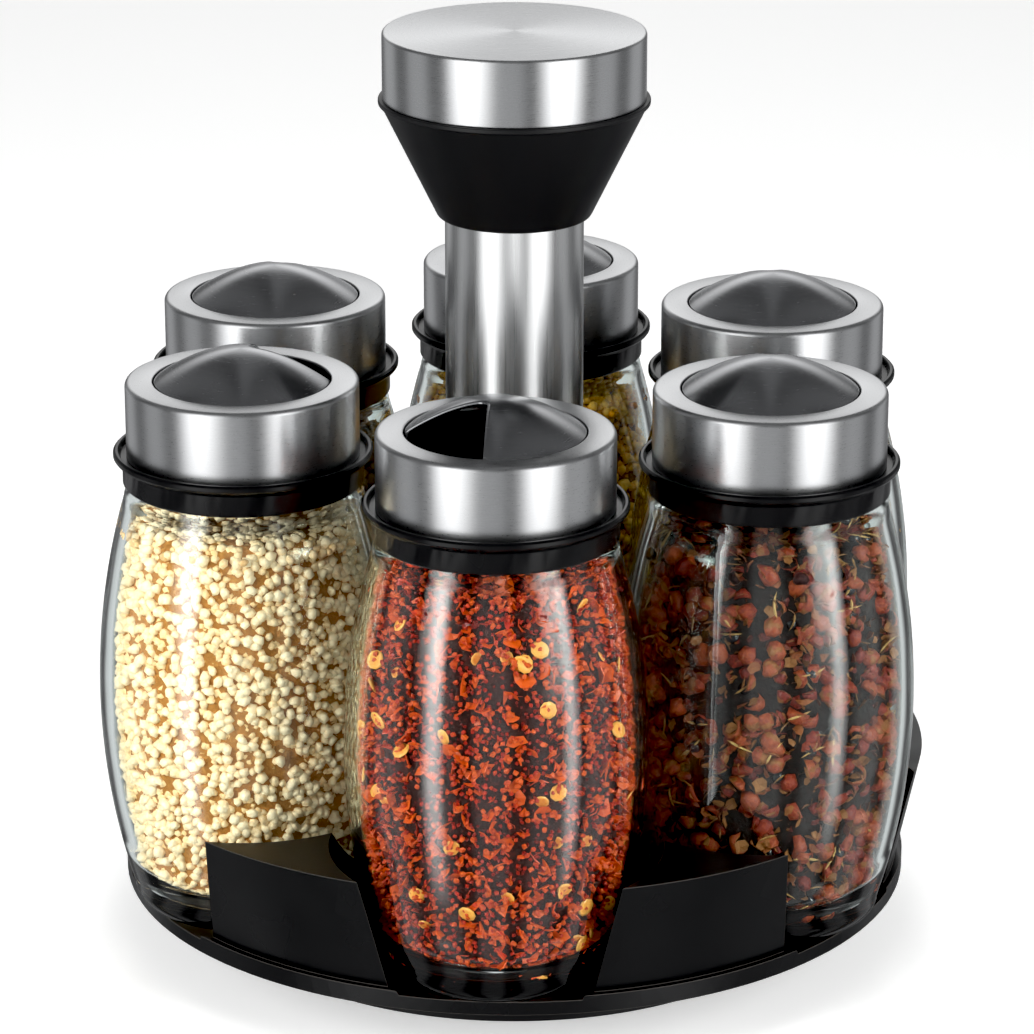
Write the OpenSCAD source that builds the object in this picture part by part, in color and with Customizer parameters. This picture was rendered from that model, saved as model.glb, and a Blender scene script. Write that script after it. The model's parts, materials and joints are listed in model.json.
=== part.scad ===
// Spice carousel: six glass shaker jars stand in a moulded turntable tray.
// The tray runs on a ball ring over a low foot, and a steel column with a
// knob carries and spins it. Each jar has a steel lid with a turning pour dial.
// Millimetres. +Z is up, the ground is z = 0 and the spindle is the Z axis.

/* [Glass jar] */
// Radius of the jar at its widest, the belly
jar_belly_r = 28.3; // [27.8:0.1:35]
// Height of the belly above the jar's foot
jar_belly_h = 42.5; // [34:0.5:52]
// Radius of the flat ring that the jar stands on
jar_foot_r = 19.8; // [16:0.1:22]
// Radius of the shell just above the rounded heel
jar_heel_r = 22.6; // [20.5:0.1:25]
// Height of the rounded heel
jar_heel_h = 3.6; // [2:0.1:6]
// Height of the shoulder above the foot
jar_body_h = 84; // [70:0.5:102]
// Radius of the shell where it meets the shoulder
jar_shoulder_r = 22.7; // [21.5:0.1:24]
// Rounding of the shoulder's edge
jar_shoulder_round = 1.4; // [0.6:0.1:2]
// Thickness of the glass wall
glass_wall = 2.2; // [1.4:0.1:3]
// Thickness of the glass floor
glass_floor = 3.6; // [3:0.1:9]
// Outer radius of the neck
neck_r = 18.6; // [17:0.1:19]
// Height of the neck above the shoulder
neck_h = 14.5; // [12:0.1:20]
// How far the retaining bead stands out of the neck
neck_bead = 0.6; // [0.3:0.05:0.8]
// Height of the spice above the jar's foot
spice_h = 80.5; // [30:0.5:81]

/* [Lid] */
// Outer radius of the steel lid
lid_r = 22; // [21.6:0.1:26]
// Height of the steel lid's band
lid_band_h = 14.5; // [13.5:0.1:18]
// Thickness of the steel sheet
lid_sheet = 0.6; // [0.4:0.05:0.8]
// Rounding of the lid's top edge
lid_edge_round = 1; // [0.3:0.1:1.4]
// Height of the black skirt under the flange
skirt_h = 4.6; // [3:0.1:8]
// How far the skirt stands out past the steel band
skirt_out = 0.8; // [0.2:0.1:1.2]
// How far the flange stands out past the steel band
flange_out = 2.5; // [1.8:0.1:4]
// Height of the flange's upturned lip
lip_h = 1.2; // [0.6:0.1:3]
// Thickness of the sifter plate
sifter_t = 1.6; // [1:0.1:2.4]
// Radius of the small sprinkle holes
sprinkle_r = 1.1; // [0.6:0.05:1.5]
// Width of the pour slot
slot_w = 7; // [4:0.5:7]

/* [Pour dial] */
// Radius of the domed dial where it comes through the lid
dial_r = 16.5; // [14:0.1:17.5]
// Height of the dome above the lid's top
dial_rise = 6.6; // [3:0.1:10]
// Rounding of the pour opening's inner corner
pour_corner_r = 2; // [0.5:0.1:3]
// Thickness of the dial's sheet
dial_sheet = 0.7; // [0.5:0.05:1]
// Angle of the pour opening
pour_angle = 90; // [60:5:120]
// Distance of the pour opening's inner corner from the centre
pour_inner_r = 2.6; // [2.6:0.1:5]
// Radius of the dial's pivot stem
stem_r = 1.6; // [1.2:0.1:2]
// Direction that the opening of each dial faces, for jars 1 to 6
dial_turn = [225, 90, 100, 120, 80, 42]; // [0:1:360]

/* [Tray] */
// Height of the tray's rim above the ground
rim_z = 11.6; // [10:0.1:16]
// Height of the rim
rim_h = 2.7; // [2:0.1:4]
// Thickness of the pocket floors
floor_t = 1.5; // [1:0.1:2]
// How far the rim stands out past the jars' feet
rim_past_jar = 0.3; // [0:0.1:5]
// Height of the dividers above the pocket floor
divider_h = 23.2; // [12:0.1:34]
// How far the dividers' outer face leans out from bottom to top
divider_flare = 4.9; // [0:0.1:9]
// How far the dividers' foot stands in from the rim
divider_step = 1.5; // [0.5:0.1:3]
// Height of the step under each divider
step_h = 0.8; // [0.3:0.1:2]
// Gap between jar and pocket at the floor
pocket_gap_low = 2.3; // [0.5:0.1:4]
// Gap between jar and pocket at the dividers' top
pocket_gap_top = 4.4; // [0.5:0.1:6]
// Wall thickness of the moulding
mould_wall = 2.2; // [1.2:0.1:2.6]
// Thickness of the plate that closes the tray from below
base_plate_t = 1.8; // [1.6:0.1:2.4]

/* [Foot] */
// Outer radius of the foot
foot_r = 58; // [50:0.5:66]
// Thickness of the foot's top
foot_top_t = 3; // [2:0.1:4]
// Wall thickness of the foot's skirt
foot_wall = 2.2; // [1.5:0.1:4]
// Rounding of the foot's top edge
foot_edge_round = 1; // [0.4:0.1:2]
// Radius of the rubber feet
rubber_r = 5.2; // [3:0.1:7]
// How far the rubber feet stand out below the foot
rubber_out = 1.2; // [0.6:0.1:2]
// Depth of the sockets that hold the rubber feet
rubber_in = 1.4; // [0.8:0.1:2]
// Number of rubber feet
rubber_count = 6; // [3:1:8]

/* [Ball ring] */
// Radius of the bearing balls
ball_r = 1.6; // [1:0.1:1.8]
// Radius of the circle that the balls run on
race_r = 44; // [30:0.5:50]
// Number of balls
ball_count = 18; // [8:1:24]
// Gap between foot and base plate
race_gap = 1.1; // [0.9:0.1:1.4]
// Width of the ball cage
cage_w = 6; // [5:0.5:10]
// Thickness of the ball cage
cage_t = 0.6; // [0.4:0.05:0.7]

/* [Column and knob] */
// Outer radius of the steel column
column_r = 13.3; // [10:0.1:16]
// Wall thickness of the column
column_wall = 0.8; // [0.5:0.1:1.5]
// Height of the column's visible length above the dividers
column_h = 106; // [70:0.5:130]
// How deep the column sits in the hub and in the knob
column_seat = 12; // [6:0.5:14]
// Radius of the tie rod
rod_r = 2.5; // [2:0.1:3]
// Radius of the knob's cone at its lower end
cone_low_r = 14.6; // [14:0.1:20]
// Radius of the knob's cone at its upper end
cone_top_r = 25.4; // [18:0.1:32]
// Height of the cone
cone_h = 23; // [19:0.5:34]
// Rounding of the cone's lower edge
cone_round = 1.2; // [0.4:0.1:1.2]
// Height of the steel knob cap
cap_h = 12.8; // [6:0.1:20]
// How far the cap stands in from the cone's lip
cap_inset = 0.8; // [0.2:0.1:2]
// Height of the thin lip round the cone's top
cone_lip_h = 1; // [0.5:0.1:2]
// Thickness of the cap's sheet
cap_sheet = 0.8; // [0.5:0.1:1.2]

/* [Fits] */
// Space between neighbouring jars at their bellies
jar_space = 0.6; // [0.4:0.1:6]
// Clearance between a jar's foot and its pocket floor
seat_gap = 0.05; // [0.02:0.01:0.1]
// Clearance round anything that turns or lifts freely
free_gap = 0.3; // [0.3:0.05:0.5]
// Radial clearance of a shaft that runs in a bore
run_gap = 0.06; // [0.03:0.01:0.1]
// Clearance between the dial's flange and the sifter plate
dial_gap = 0.15; // [0.1:0.05:0.3]
// Clearance between pieces fixed to each other
fixed_gap = 0.02; // [0.01:0.01:0.05]

/* [Hidden] */
$fn = 96;
jar_count = 6;
arc_steps = 14;
// How far a cut runs past the face it cuts
over = 1;

jar_step = 360 / jar_count;
jar_circle_r = (jar_belly_r + jar_space / 2) / sin(jar_step / 2);

// Heights of the foot, the ball ring and the tray, from the ground up
plate_z = rim_z + rim_h - floor_t - base_plate_t;
foot_top_z = plate_z - race_gap;
boss_z = foot_top_z - foot_top_t;
floor_z = rim_z + rim_h;
hub_top_z = floor_z + divider_h;
rim_r = jar_circle_r + jar_foot_r + rim_past_jar;
divider_low_r = rim_r - divider_step;
divider_top_r = divider_low_r + divider_flare;
plate_r = rim_r - mould_wall;

// The shell of the jar: one arc below the belly and one above it
function arc_radius(rise, run) = (run * run + rise * rise) / (2 * rise);
low_arc = arc_radius(jar_belly_r - jar_heel_r, jar_belly_h - jar_heel_h);
top_arc_end = jar_body_h - jar_shoulder_round;
top_arc = arc_radius(jar_belly_r - jar_shoulder_r, top_arc_end - jar_belly_h);
function shell_r(h) = let (R = h < jar_belly_h ? low_arc : top_arc)
    jar_belly_r - R + sqrt(R * R - pow(h - jar_belly_h, 2));
// A list without its first point, which the list before it ends on
function rest(v) = [for (i = [1 : len(v) - 1]) v[i]];
function steps(a, b, n) = [for (i = [0 : n]) a + (b - a) * i / n];
function turn_pts(cr, cz, r, a0, a1, n) = [for (a = steps(a0, a1, n)) [cr + r * cos(a), cz + r * sin(a)]];

bore_r = neck_r - glass_wall;
neck_top = jar_body_h + neck_h;
shoulder_in_h = 2.4;
inner_top = jar_body_h - shoulder_in_h;
room_corner_r = 9;
neck_round = 0.6;
bead_share = 0.62;
fill_gap = 0.15;

// The lid's stack, measured from the jar's foot
skirt_z = jar_body_h + free_gap;
flange_z = skirt_z + skirt_h;
flange_rise = 0.8;
band_z = flange_z + flange_rise;
lid_top = band_z + lid_band_h;
collar_bore = neck_r + neck_bead + free_gap;
sleeve_r = lid_r - lid_sheet - fixed_gap;
seal_t = 1;
sifter_z = neck_top + seat_gap + seal_t;
sifter_top = sifter_z + sifter_t;
dial_low = sifter_top + dial_gap;
dial_flange_w = 2.2;
dial_flange_r = dial_r + dial_flange_w;
dial_hole_r = dial_r + free_gap;
dial_sunk = 0.2;
dome_z = lid_top - dial_sunk;
dome_power = 1.15;
stem_out = 0.1;

// The sprinkle holes and the pour slot, as radii and angles on the sifter plate
sprinkle_rings = [6, 9.5, 13];
sprinkle_angles = [100, 120, 140];
slot_angle = 240;
slot_rings = [6, 9.5];

// The pockets follow the jars' taper
pocket_low_r = shell_r(jar_heel_h) + pocket_gap_low;
pocket_top_r = shell_r(divider_h) + pocket_gap_top;

// The hub, the rod and the knob
hub_seat_z = hub_top_z - column_seat;
hub_plate_t = 3;
hub_post_r = column_r + fixed_gap + mould_wall;
nut_t = 4;
washer_t = 0.8;
cone_z = hub_top_z + column_h;
cone_top_z = cone_z + cone_h;
cone_lip_out = 0.5;
cone_lip_r = cone_top_r + cone_lip_out;
cap_r = cone_lip_r - cap_inset;
cap_top_z = cone_top_z + cap_h;
insert_h = 5;
rod_top_z = cone_z + column_seat + insert_h - 1;
rod_low_z = 1.4;
nut_flats = rod_r * 1.6;
washer_r = rod_r * 2.2;
lock_play = 0.2;
lock_washer_z = boss_z - lock_play - washer_t;
lock_nut_z = rod_low_z + 0.4;
insert_r = nut_flats + 2;

// The foot's parts
bush_r = rod_r + 2.5;
bush_rim = 2;
rubber_ring_r = foot_r - foot_wall - rubber_r - 3;
socket_wall = 1.4;

// The screws of the base plate, and their bosses in the tray
screw_boss_r = 3;
screw_ring_r = divider_low_r - mould_wall - screw_boss_r - 0.4;
screw_r = 1.2;
screw_head_r = 2.6;
screw_head_h = 1.3;
screw_len = 11;
cross_l = 3;
cross_w = 0.6;
cross_depth = 0.7;

// A tube between two heights
module ring(r_out, r_in, z0, z1) {
    translate([0, 0, z0]) difference() {
        cylinder(h = z1 - z0, r = r_out);
        translate([0, 0, -over]) cylinder(h = z1 - z0 + 2 * over, r = r_in);
    }
}

// A hexagon nut on the Z axis
module nut(z0, h, bore) {
    translate([0, 0, z0]) difference() {
        cylinder(h = h, r = nut_flats / cos(30), $fn = 6);
        translate([0, 0, -over]) cylinder(h = h + 2 * over, r = bore);
    }
}

// Sets a piece of jar n in its place: jar 1 at the front, then round by the right
module at_jar(n, z = 0) {
    a = jar_step * (n - 1) - 90;
    translate([jar_circle_r * cos(a), jar_circle_r * sin(a), floor_z + seat_gap + z]) children();
}

// One jar-shaped cone for each pocket, grown by a wall where asked
module pockets(grow = 0) {
    lean = (pocket_top_r - pocket_low_r) / divider_h;
    for (n = [1 : jar_count]) {
        a = jar_step * (n - 1) - 90;
        translate([jar_circle_r * cos(a), jar_circle_r * sin(a), floor_z - over])
            cylinder(h = divider_h + 2 * over, r1 = pocket_low_r - lean * over + grow,
                r2 = pocket_top_r + lean * over + grow);
    }
}

// ---- Foot ----

module foot_plate() {
    outer = concat([[0, rubber_out], [foot_r, rubber_out]],
        turn_pts(foot_r - foot_edge_round, foot_top_z - foot_edge_round, foot_edge_round, 0, 90, 6),
        [[0, foot_top_z]]);
    inner_r = foot_r - foot_wall;
    color("#17181a") difference() {
        rotate_extrude() polygon(outer);
        difference() {
            translate([0, 0, -over]) cylinder(h = boss_z + over, r = inner_r);
            for (k = [1 : rubber_count]) rotate(360 / rubber_count * k)
                translate([rubber_ring_r, 0, -over])
                    cylinder(h = boss_z + 2 * over, r = rubber_r + socket_wall);
        }
        for (k = [1 : rubber_count]) rotate(360 / rubber_count * k)
            translate([rubber_ring_r, 0, -over])
                cylinder(h = rubber_out + rubber_in + over, r = rubber_r + fixed_gap);
        translate([0, 0, -over]) cylinder(h = foot_top_z + 2 * over, r = bush_r + fixed_gap);
        race_groove(foot_top_z + race_gap / 2);
    }
}

module race_groove(z) {
    translate([0, 0, z]) rotate_extrude() translate([race_r, 0]) circle(r = ball_r + run_gap);
}

module rubber_feet() {
    color("#2b2b2b") for (k = [1 : rubber_count]) rotate(360 / rubber_count * k)
        translate([rubber_ring_r, 0, 0]) cylinder(h = rubber_out + rubber_in, r = rubber_r);
}

module pivot_bush() {
    color("#e8e4d8") difference() {
        union() {
            translate([0, 0, boss_z]) cylinder(h = foot_top_t, r = bush_r);
            translate([0, 0, foot_top_z]) cylinder(h = race_gap - free_gap, r = bush_r + bush_rim);
        }
        translate([0, 0, boss_z - over]) cylinder(h = foot_top_t + race_gap + 2 * over, r = rod_r + run_gap);
    }
}

// ---- Ball ring ----

module bearing_balls() {
    color("#b9bcc0") for (k = [1 : ball_count]) rotate(360 / ball_count * k)
        translate([race_r, 0, foot_top_z + race_gap / 2]) sphere(r = ball_r);
}

module ball_cage() {
    z = foot_top_z + (race_gap - cage_t) / 2;
    color("#d9d2b8") difference() {
        ring(race_r + cage_w / 2, race_r - cage_w / 2, z, z + cage_t);
        for (k = [1 : ball_count]) rotate(360 / ball_count * k)
            translate([race_r, 0, z - over]) cylinder(h = cage_t + 2 * over, r = ball_r + run_gap);
    }
}

// ---- Tray ----

module divider_cone(inset, z0, z1) {
    lean = divider_flare / divider_h;
    translate([0, 0, z0]) cylinder(h = z1 - z0, r1 = divider_low_r - inset + lean * (z0 - floor_z),
        r2 = divider_low_r - inset + lean * (z1 - floor_z));
}

module carousel_tray() {
    color("#141517") difference() {
        union() {
            translate([0, 0, rim_z]) cylinder(h = rim_h, r = rim_r);
            difference() {
                union() {
                    divider_cone(0, floor_z, hub_top_z);
                    translate([0, 0, floor_z]) cylinder(h = step_h, r = rim_r);
                }
                pockets();
            }
        }
        // The recess for the base plate
        translate([0, 0, rim_z - over])
            cylinder(h = rim_h - floor_t + over, r = plate_r + fixed_gap);
        // The hollow inside the dividers and the hub
        difference() {
            divider_cone(mould_wall, floor_z - floor_t - over, hub_top_z - mould_wall);
            pockets(mould_wall);
            translate([0, 0, rim_z]) cylinder(h = divider_h + rim_h, r = hub_post_r);
            for (n = [1 : jar_count]) rotate(jar_step * (n - 0.5) - 90)
                translate([screw_ring_r, 0, rim_z]) cylinder(h = divider_h + rim_h, r = screw_boss_r);
        }
        // Pilot holes of the plate screws
        for (n = [1 : jar_count]) rotate(jar_step * (n - 0.5) - 90)
            translate([screw_ring_r, 0, rim_z]) cylinder(h = screw_len + 1, r = screw_r + fixed_gap);
        // The column's seat, the rod's hole and the room for the hub nut
        translate([0, 0, hub_seat_z]) cylinder(h = column_seat + over, r = column_r + fixed_gap);
        translate([0, 0, rim_z]) cylinder(h = divider_h + rim_h, r = rod_r + fixed_gap);
        translate([0, 0, rim_z]) cylinder(h = hub_seat_z - hub_plate_t - rim_z, r = hub_post_r - mould_wall);
    }
}

module tray_base_plate() {
    color("#1b1c1e") difference() {
        translate([0, 0, plate_z]) cylinder(h = base_plate_t, r = plate_r);
        race_groove(foot_top_z + race_gap / 2);
        translate([0, 0, plate_z - over]) cylinder(h = base_plate_t + 2 * over, r = rod_r + fixed_gap);
        for (n = [1 : jar_count]) rotate(jar_step * (n - 0.5) - 90)
            translate([screw_ring_r, 0, plate_z - over])
                cylinder(h = base_plate_t + 2 * over, r = screw_r + fixed_gap);
    }
}

module plate_screws() {
    color("#9a9da1") for (n = [1 : jar_count]) rotate(jar_step * (n - 0.5) - 90)
        translate([screw_ring_r, 0, plate_z]) difference() {
            union() {
                cylinder(h = screw_len, r = screw_r);
                translate([0, 0, -screw_head_h]) cylinder(h = screw_head_h, r = screw_head_r);
            }
            for (a = [0, 90]) rotate(a) translate([-cross_l / 2, -cross_w / 2, -screw_head_h - over])
                cube([cross_l, cross_w, cross_depth + over]);
        }
}

// ---- Column and knob ----

module column_tube() {
    color("#c9cbcd")
        ring(column_r, column_r - column_wall, hub_seat_z, cone_z + column_seat);
}

module tie_rod() {
    color("#8f9296") translate([0, 0, rod_low_z]) cylinder(h = rod_top_z - rod_low_z, r = rod_r);
}

module hub_nut() {
    color("#8f9296")
        nut(hub_seat_z - hub_plate_t - washer_t - nut_t, nut_t, rod_r + fixed_gap);
}

module hub_washer() {
    z = hub_seat_z - hub_plate_t - washer_t;
    color("#a8abaf") ring(washer_r, rod_r + fixed_gap, z, z + washer_t);
}

module lock_washer() {
    color("#a8abaf")
        ring(washer_r, rod_r + fixed_gap, lock_washer_z, lock_washer_z + washer_t);
}

module lock_nut() {
    color("#8f9296") nut(lock_nut_z, lock_washer_z - lock_nut_z, rod_r + fixed_gap);
}

module knob_cone() {
    spigot_r = cap_r - cap_sheet - fixed_gap;
    spigot_top = cone_h + cap_h - cap_sheet - fixed_gap;
    side_h = cone_h - cone_lip_h;
    side = atan((cone_top_r - cone_low_r) / side_h);
    corner_r = cone_low_r - cone_round * (1 - sin(side)) / cos(side);
    outer = concat([[0, 0]], turn_pts(corner_r, cone_round, cone_round, -90, -side, 6),
        [[cone_top_r, side_h], [cone_lip_r, side_h], [cone_lip_r, cone_h],
         [spigot_r, cone_h], [spigot_r, spigot_top], [0, spigot_top]]);
    color("#18191a") translate([0, 0, cone_z]) difference() {
        rotate_extrude() polygon(outer);
        // The column's seat and the insert's pocket
        translate([0, 0, -over]) cylinder(h = column_seat + over, r = column_r + fixed_gap);
        cylinder(h = column_seat + insert_h, r = insert_r);
        // The hollow under the cap
        translate([0, 0, column_seat + insert_h + mould_wall])
            cylinder(h = cone_h + cap_h, r = cone_low_r);
    }
}

module knob_insert() {
    color("#b08d4a") translate([0, 0, cone_z + column_seat]) difference() {
        cylinder(h = insert_h, r = insert_r - fixed_gap);
        translate([0, 0, -over]) cylinder(h = insert_h + 2 * over, r = rod_r + fixed_gap);
    }
}

module knob_cap() {
    round_r = 0.7;
    color("#cfd1d3") translate([0, 0, cone_top_z]) difference() {
        rotate_extrude() polygon(concat([[0, 0], [cap_r, 0]],
            turn_pts(cap_r - round_r, cap_h - round_r, round_r, 0, 90, 6), [[0, cap_h]]));
        translate([0, 0, -over]) cylinder(h = cap_h - cap_sheet + over, r = cap_r - cap_sheet);
    }
}

// ---- Jar ----

module glass_jar(n) {
    heel = [for (a = steps(-90, 0, 8)) [jar_foot_r + (jar_heel_r - jar_foot_r) * cos(a),
        jar_heel_h + jar_heel_h * sin(a)]];
    shell = [for (h = steps(jar_heel_h, jar_belly_h, arc_steps)) [shell_r(h), h]];
    upper = [for (h = steps(jar_belly_h, top_arc_end, arc_steps)) [shell_r(h), h]];
    shoulder = turn_pts(jar_shoulder_r - jar_shoulder_round, top_arc_end, jar_shoulder_round, 0, 90, 5);
    bead_z = jar_body_h + neck_h * bead_share;
    edge_z = neck_top - neck_round;
    neck = concat([[neck_r, jar_body_h]],
        [[neck_r, bead_z - neck_bead], [neck_r + neck_bead, bead_z], [neck_r, bead_z + neck_bead]],
        turn_pts(neck_r - neck_round, edge_z, neck_round, 0, 90, 4),
        turn_pts(bore_r + neck_round, edge_z, neck_round, 90, 180, 4));
    color([0.8, 0.88, 0.86, 0.35]) at_jar(n) difference() {
        rotate_extrude() polygon(concat([[0, 0]], heel, rest(shell), rest(upper), rest(shoulder), neck,
            [[0, edge_z]]));
        jar_room(0);
    }
}

// The room inside the glass, shrunk by a gap and cut off at a height
module jar_room(gap, top = -1) {
    side_z = glass_floor + gap + room_corner_r;
    low_r = shell_r(side_z) - glass_wall - gap;
    bottom = turn_pts(low_r - room_corner_r, side_z, room_corner_r, -90, 0, 8);
    side = [for (h = steps(side_z, inner_top, 2 * arc_steps)) [shell_r(h) - glass_wall - gap, h]];
    neck = [[bore_r - gap, jar_body_h + jar_shoulder_round], [bore_r - gap, neck_top + over]];
    room = concat([[0, glass_floor + gap]], bottom, rest(side), neck, [[0, neck_top + over]]);
    if (top < 0) rotate_extrude() polygon(room);
    else intersection() {
        rotate_extrude() polygon(room);
        cylinder(h = top, r = jar_belly_r);
    }
}

module spice_fill(n, tint) {
    color(tint) at_jar(n) jar_room(fill_gap, spice_h);
}

// ---- Lid ----

module lid_collar(n) {
    skirt_r = lid_r + skirt_out;
    flange_r = lid_r + flange_out;
    lip_t = 1.1;
    outer = [[collar_bore, skirt_z], [skirt_r - 0.4, skirt_z], [skirt_r, skirt_z + 0.4],
        [skirt_r, flange_z - 0.5], [flange_r - 0.3, flange_z + 0.5], [flange_r, flange_z + 0.9],
        [flange_r, band_z + lip_h - 0.4], [flange_r - 0.4, band_z + lip_h],
        [flange_r - lip_t + 0.2, band_z + lip_h], [flange_r - lip_t, band_z + lip_h - 0.3],
        [flange_r - lip_t - 0.3, band_z], [sleeve_r, band_z],
        [sleeve_r, sifter_top], [0, sifter_top], [0, sifter_z], [collar_bore, sifter_z]];
    color("#161718") at_jar(n) rotate(dial_turn[n - 1]) difference() {
        rotate_extrude() polygon(outer);
        // The stem's bore, the sprinkle holes and the pour slot
        translate([0, 0, sifter_z - over]) cylinder(h = sifter_t + 2 * over, r = stem_r + run_gap);
        for (ring_r = sprinkle_rings) for (a = sprinkle_angles) rotate(a)
            translate([ring_r, 0, sifter_z - over]) cylinder(h = sifter_t + 2 * over, r = sprinkle_r);
        for (ring_r = slot_rings) rotate(slot_angle)
            translate([ring_r, 0, sifter_z - over]) cylinder(h = sifter_t + 2 * over, r = slot_w / 2);
        rotate(slot_angle) translate([slot_rings[0], -slot_w / 2, sifter_z - over])
            cube([slot_rings[1] - slot_rings[0], slot_w, sifter_t + 2 * over]);
    }
}

module seal_ring(n) {
    color("#d8d8d2") at_jar(n)
        ring(neck_r + neck_bead, bore_r, neck_top + seat_gap, sifter_z);
}

module steel_lid(n) {
    outer = concat([[0, band_z], [lid_r, band_z]],
        turn_pts(lid_r - lid_edge_round, lid_top - lid_edge_round, lid_edge_round, 0, 90, 6), [[0, lid_top]]);
    color("#c4c6c8") at_jar(n) difference() {
        rotate_extrude() polygon(outer);
        translate([0, 0, band_z - over]) cylinder(h = lid_band_h - lid_sheet + over, r = lid_r - lid_sheet);
        cylinder(h = lid_top + over, r = dial_hole_r);
    }
}

// Height of the bell-shaped dome at a radius, from its edge to its rounded top
function dome(r, size, rise) = rise * pow(cos(90 * min(r / size, 1)), dome_power);

// The outline of the pour opening: a sector with a rounded inner corner
module pour_sector() {
    half = pour_angle / 2;
    reach = dial_r * 1.5;
    corner_x = pour_inner_r + pour_corner_r;
    edge_x = corner_x - pour_corner_r / sin(half);
    touch = [corner_x - pour_corner_r * sin(half), pour_corner_r * cos(half)];
    far = [edge_x + reach * cos(half), reach * sin(half)];
    intersection() {
        circle(r = dial_r + over);
        union() {
            translate([corner_x, 0]) circle(r = pour_corner_r);
            polygon([touch, far, [reach + edge_x, 0], [far.x, -far.y], [touch.x, -touch.y]]);
        }
    }
}

module pour_dial(n) {
    top = [for (r = steps(dial_r, 0, 16)) [r, dome_z + dome(r, dial_r, dial_rise)]];
    under_r = dial_r - dial_sheet;
    under = [for (r = steps(0, under_r, 16)) [r, dome_z - dial_sheet + dome(r, under_r, dial_rise)]];
    shell = concat([[dial_flange_r, dial_low], [dial_flange_r, dial_low + dial_sheet],
        [dial_r, dial_low + dial_sheet]], top, under, [[under_r, dial_low]]);
    color("#bfc1c4") at_jar(n) rotate(dial_turn[n - 1]) {
        difference() {
            rotate_extrude() polygon(shell);
            // The pour opening: a sector with a rounded inner corner
            translate([0, 0, dial_low + dial_sheet]) linear_extrude(height = dial_rise + lid_band_h)
                pour_sector();
        }
        translate([0, 0, sifter_z - stem_out])
            cylinder(h = lid_top + dial_rise - dial_sheet - sifter_z, r = stem_r);
    }
}

spice_tints = ["#9c3a1d", "#6b3326", "#7d5a33", "#b8771f", "#8a6238", "#dcc79a"];

foot_plate();
rubber_feet();
pivot_bush();
bearing_balls();
ball_cage();
carousel_tray();
tray_base_plate();
plate_screws();
column_tube();
tie_rod();
hub_nut();
hub_washer();
lock_nut();
lock_washer();
knob_cone();
knob_insert();
knob_cap();
glass_jar(1);  // glass_jar_1
glass_jar(2);  // glass_jar_2
glass_jar(3);  // glass_jar_3
glass_jar(4);  // glass_jar_4
glass_jar(5);  // glass_jar_5
glass_jar(6);  // glass_jar_6
spice_fill(1, spice_tints[0]);  // spice_fill_1
spice_fill(2, spice_tints[1]);  // spice_fill_2
spice_fill(3, spice_tints[2]);  // spice_fill_3
spice_fill(4, spice_tints[3]);  // spice_fill_4
spice_fill(5, spice_tints[4]);  // spice_fill_5
spice_fill(6, spice_tints[5]);  // spice_fill_6
lid_collar(1);  // lid_collar_1
lid_collar(2);  // lid_collar_2
lid_collar(3);  // lid_collar_3
lid_collar(4);  // lid_collar_4
lid_collar(5);  // lid_collar_5
lid_collar(6);  // lid_collar_6
seal_ring(1);  // seal_ring_1
seal_ring(2);  // seal_ring_2
seal_ring(3);  // seal_ring_3
seal_ring(4);  // seal_ring_4
seal_ring(5);  // seal_ring_5
seal_ring(6);  // seal_ring_6
steel_lid(1);  // steel_lid_1
steel_lid(2);  // steel_lid_2
steel_lid(3);  // steel_lid_3
steel_lid(4);  // steel_lid_4
steel_lid(5);  // steel_lid_5
steel_lid(6);  // steel_lid_6
pour_dial(1);  // pour_dial_1
pour_dial(2);  // pour_dial_2
pour_dial(3);  // pour_dial_3
pour_dial(4);  // pour_dial_4
pour_dial(5);  // pour_dial_5
pour_dial(6);  // pour_dial_6
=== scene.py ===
import json
import math
import random

import bmesh
import bpy
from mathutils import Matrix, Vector

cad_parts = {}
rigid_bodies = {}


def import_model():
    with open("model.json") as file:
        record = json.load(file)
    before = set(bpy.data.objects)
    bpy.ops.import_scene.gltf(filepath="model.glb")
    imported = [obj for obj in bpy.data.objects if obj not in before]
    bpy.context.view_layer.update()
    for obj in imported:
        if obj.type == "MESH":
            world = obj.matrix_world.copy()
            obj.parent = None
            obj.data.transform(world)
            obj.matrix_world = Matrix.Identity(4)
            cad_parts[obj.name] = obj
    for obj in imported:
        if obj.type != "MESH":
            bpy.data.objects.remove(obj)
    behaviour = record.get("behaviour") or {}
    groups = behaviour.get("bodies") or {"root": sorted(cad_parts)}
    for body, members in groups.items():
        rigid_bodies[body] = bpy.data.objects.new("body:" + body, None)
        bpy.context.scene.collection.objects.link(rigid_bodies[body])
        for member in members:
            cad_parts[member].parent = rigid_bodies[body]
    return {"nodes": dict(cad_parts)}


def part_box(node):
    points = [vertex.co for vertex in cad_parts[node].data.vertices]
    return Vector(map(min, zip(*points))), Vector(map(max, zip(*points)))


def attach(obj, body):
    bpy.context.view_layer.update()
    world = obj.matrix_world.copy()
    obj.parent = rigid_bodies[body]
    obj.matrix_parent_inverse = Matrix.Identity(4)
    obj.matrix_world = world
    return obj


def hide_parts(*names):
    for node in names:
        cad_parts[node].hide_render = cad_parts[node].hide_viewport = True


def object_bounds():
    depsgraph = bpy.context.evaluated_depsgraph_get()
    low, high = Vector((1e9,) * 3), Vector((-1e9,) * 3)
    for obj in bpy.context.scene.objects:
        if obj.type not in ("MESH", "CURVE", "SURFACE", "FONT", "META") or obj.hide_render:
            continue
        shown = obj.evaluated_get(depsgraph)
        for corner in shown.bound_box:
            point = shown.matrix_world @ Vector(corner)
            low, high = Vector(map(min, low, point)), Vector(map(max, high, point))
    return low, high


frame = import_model()
cad_box = [list(corner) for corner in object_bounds()]

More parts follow.
